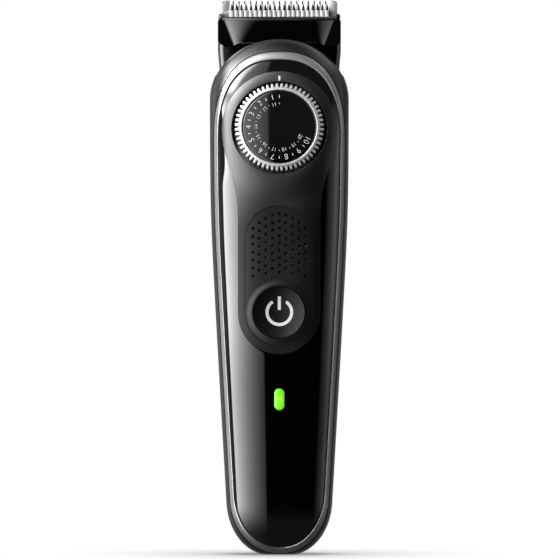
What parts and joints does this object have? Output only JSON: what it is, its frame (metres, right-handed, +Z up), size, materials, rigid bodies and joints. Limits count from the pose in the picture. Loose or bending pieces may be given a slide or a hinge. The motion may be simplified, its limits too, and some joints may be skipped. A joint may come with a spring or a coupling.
{
  "type": "beard_trimmer",
  "caption": "Cordless beard trimmer with a length dial, gloss front panel, silver trim ring, push button and a reciprocating comb blade",
  "frame": {"origin": "on the foot, in the plane where the two shells meet, midway between the sides", "axes": "+Z up from the foot to the blade tips, -Y is the front with the dial, +X is the viewer's right"},
  "size_m": [0.0422, 0.0354, 0.168],
  "materials": {
    "matte_black": "fine textured moulded plastic",
    "gloss_black": "polished piano black",
    "soft_black": "soft-touch moulded plastic",
    "rubber_black": "overmoulded soft grip",
    "satin_silver": "satin plated trim",
    "blade_steel": "ground blade steel",
    "spring_steel": "rolled strip",
    "brass_contact": "turned",
    "grey_plastic": "plain moulded",
    "board_green": "solder mask",
    "cell_wrap": "shrink sleeve",
    "lead_red": "wire jacket",
    "lens_green": "clear tinted lens, lit"
  },
  "bodies": {
    "casing": {"front_shell": "matte_black", "rear_shell": "matte_black", "control_panel": "matte_black", "gloss_panel": "gloss_black", "head_housing": "gloss_black", "grip_pad": "soft_black", "charging_socket": "soft_black", "motor_end_cap": "soft_black", "motor_lead_negative": "soft_black", "rear_grip": "rubber_black", "shell_seal_left": "rubber_black", "shell_seal_right": "rubber_black", "dial_seal": "rubber_black", "neck_seal": "rubber_black", "trim_ring": "satin_silver", "fixed_blade": "blade_steel", "motor_can": "blade_steel", "lever_pivot_pin": "blade_steel", "blade_screw_1": "blade_steel", "blade_screw_2": "blade_steel", "shell_screw_1": "blade_steel", "shell_screw_2": "blade_steel", "shell_screw_3": "blade_steel", "shell_screw_4": "blade_steel", "blade_spring": "spring_steel", "detent_spring": "spring_steel", "battery_contact_top": "spring_steel", "battery_contact_bottom": "spring_steel", "charging_pin_left": "brass_contact", "charging_pin_right": "brass_contact", "motor_bearing": "brass_contact", "chassis": "grey_plastic", "power_switch": "grey_plastic", "circuit_board": "board_green", "battery_cell": "cell_wrap", "motor_lead_positive": "lead_red", "status_lens": "lens_green", "status_led": "lens_green"},
    "length_dial": {"dial_ring": "satin_silver", "dial_face": "gloss_black", "dial_shaft": "grey_plastic", "cam_disc": "grey_plastic"},
    "carriage": {"comb_carriage": "grey_plastic"},
    "button": {"power_button": "matte_black"},
    "rotor": {"motor_shaft": "blade_steel", "eccentric_hub": "grey_plastic", "eccentric_pin": "blade_steel"},
    "lever": {"drive_lever": "grey_plastic"},
    "cutter": {"moving_blade": "blade_steel"}
  },
  "joints": [
    {"name": "dial_turn", "type": "hinge", "parent": "casing", "child": "length_dial", "pos_m": [0, -0.01205, 0.1298], "axis": [0, 0.9781, -0.2079], "range_deg": [0, 244.29]},
    {"name": "carriage_slide", "type": "slide", "parent": "casing", "child": "carriage", "axis": [0, 0.2079, 0.9781], "range_m": [0, 0.0095]},
    {"name": "button_press", "type": "slide", "parent": "casing", "child": "button", "axis": [0, 1, 0], "range_m": [0, 0.0005]},
    {"name": "motor_spin", "type": "hinge", "parent": "casing", "child": "rotor", "pos_m": [0, 0.004, 0.12], "axis": [0, 0, 1], "continuous": true},
    {"name": "lever_rock", "type": "hinge", "parent": "casing", "child": "lever", "pos_m": [0, 0.004, 0.148], "axis": [0, 1, 0], "range_deg": [-4.9, 4.9]},
    {"name": "blade_slide", "type": "slide", "parent": "casing", "child": "cutter", "axis": [1, 0, 0], "range_m": [-0.00103, 0.00103]}
  ],
  "couplings": [
    {"joint": "carriage_slide", "follows": "dial_turn", "m_per_rad": 0.0022282},
    {"joint": "lever_rock", "follows": "blade_slide", "rad_per_m": 83.333}
  ]
}
